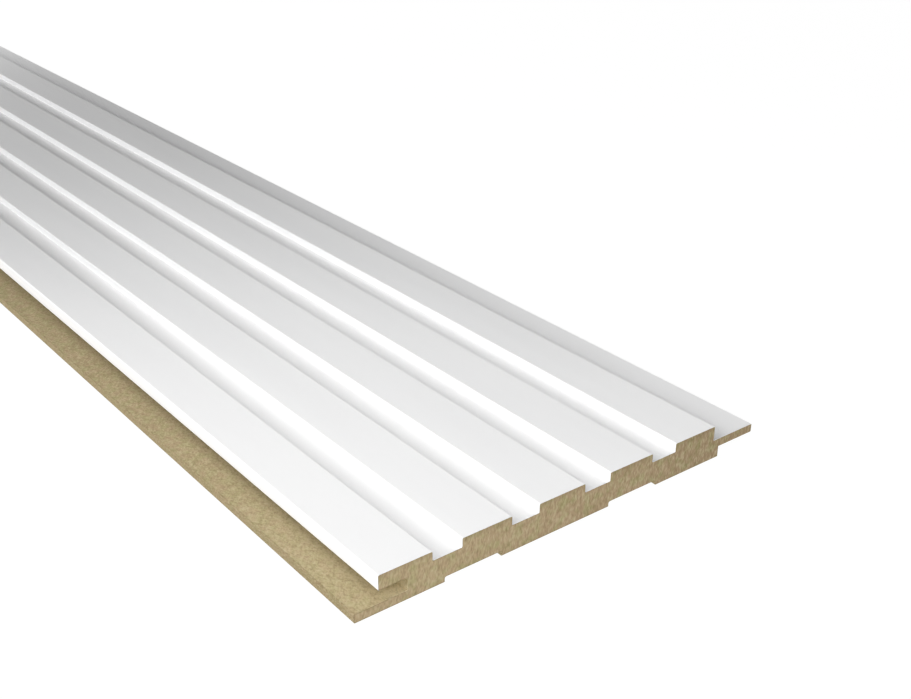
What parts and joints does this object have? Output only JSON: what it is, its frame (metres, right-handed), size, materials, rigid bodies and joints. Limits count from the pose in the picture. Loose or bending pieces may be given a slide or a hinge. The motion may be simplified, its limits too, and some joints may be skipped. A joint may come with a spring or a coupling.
{
  "type": "slatted mdf wall panel",
  "caption": "Long flat MDF wall panel with white square slats and grooves on its face, a tongue on one edge, a slot and lip on the other, and shallow relief channels in its back.",
  "frame": {"origin": "middle of the panel's footprint, on the plane that its back rests on", "axes": "+Y along the length, +X across the width from the slot edge to the tongue edge, +Z out of the slatted face"},
  "size_m": [0.209, 2.7, 0.016],
  "materials": {
    "faced_board": "satin"
  },
  "bodies": {
    "root": {"mdf_panel": "faced_board"}
  },
  "joints": []
}
